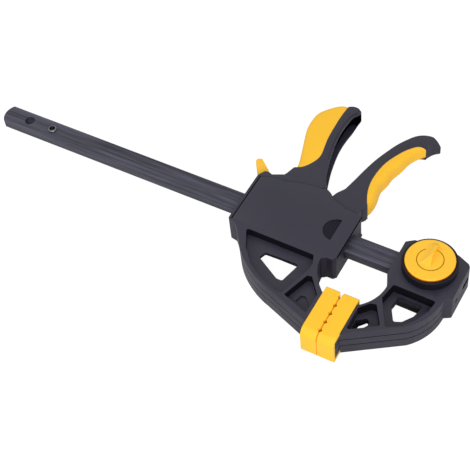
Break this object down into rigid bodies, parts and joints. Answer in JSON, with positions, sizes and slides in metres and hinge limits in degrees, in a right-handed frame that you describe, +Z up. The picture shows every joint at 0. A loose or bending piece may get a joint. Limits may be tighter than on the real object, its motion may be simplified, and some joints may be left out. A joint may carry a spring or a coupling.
{
  "type": "quick release bar clamp",
  "caption": "One-handed bar clamp: sliding head with pistol grip, squeeze trigger and release tab, fixed jaw locked to a flat bar by a turn knob.",
  "frame": {"origin": "Middle of the overall box at the surface the clamp lies on, in the closed pose.", "axes": "+X along the bar towards the fixed jaw, +Y from the jaws to the handles, +Z up, square to the plane of the jaws."},
  "size_m": [0.3462, 0.18, 0.0324],
  "materials": {
    "bar_steel": "black oxide, satin, with draw marks",
    "pin_steel": "satin",
    "plate_steel": "satin",
    "spring_steel": "satin",
    "screw_steel": "satin",
    "black_plastic": "fine texture",
    "black_cover": "smooth satin",
    "yellow_soft": "soft satin",
    "yellow_hard": "satin"
  },
  "bodies": {
    "bar": {"bar": "bar_steel", "stop_pin": "pin_steel", "fixed_jaw": "black_plastic", "fixed_jaw_pad": "yellow_soft", "lock_collar": "black_plastic", "lock_spring": "spring_steel"},
    "head": {"head_body": "black_plastic", "cover_front": "black_cover", "cover_rear": "black_cover", "cover_screws": "screw_steel", "grip_overmould": "yellow_soft", "moving_jaw_pad": "yellow_soft", "trigger_pin": "pin_steel", "drive_spring": "spring_steel", "brake_spring": "spring_steel"},
    "trigger": {"trigger": "black_plastic", "trigger_grip": "yellow_soft"},
    "drive": {"drive_plate": "plate_steel"},
    "release": {"brake_plate": "plate_steel", "release_tab": "yellow_hard"},
    "knob": {"lock_knob": "yellow_hard", "knob_centre": "yellow_hard"},
    "lock_pin": {"lock_pin": "pin_steel", "pin_clip": "spring_steel"}
  },
  "joints": [
    {"name": "head_slide", "type": "slide", "parent": "bar", "child": "head", "axis": [-1, 0, 0], "range_m": [0, 0.15]},
    {"name": "trigger_squeeze", "type": "hinge", "parent": "head", "child": "trigger", "pos_m": [0.0857, -0.02545, 0.0106], "axis": [0, 0, 1], "range_deg": [0, 16], "stiffness_Nm_per_rad": 0.8, "springref_deg": -8.59},
    {"name": "drive_push", "type": "slide", "parent": "head", "child": "drive", "axis": [-1, 0, 0], "range_m": [0, 0.0065], "deforming": ["drive_spring"]},
    {"name": "release_swing", "type": "hinge", "parent": "head", "child": "release", "pos_m": [0.0249, 0.00855, 0.0106], "axis": [0, 0, 1], "range_deg": [-6.5, 0], "stiffness_Nm_per_rad": 0.3, "springref_deg": 5.73, "deforming": ["brake_spring"]},
    {"name": "knob_turn", "type": "hinge", "parent": "bar", "child": "knob", "pos_m": [0.1511, -0.01295, 0.0226], "axis": [0, 0, 1], "range_deg": [0, 90]},
    {"name": "pin_lift", "type": "slide", "parent": "bar", "child": "lock_pin", "axis": [0, 0, 1], "range_m": [0, 0.0024], "deforming": ["lock_spring"]}
  ],
  "couplings": [
    {"joint": "drive_push", "follows": "trigger_squeeze", "m_per_rad": 0.022},
    {"joint": "pin_lift", "follows": "knob_turn", "m_per_rad": 0.0014642}
  ]
}
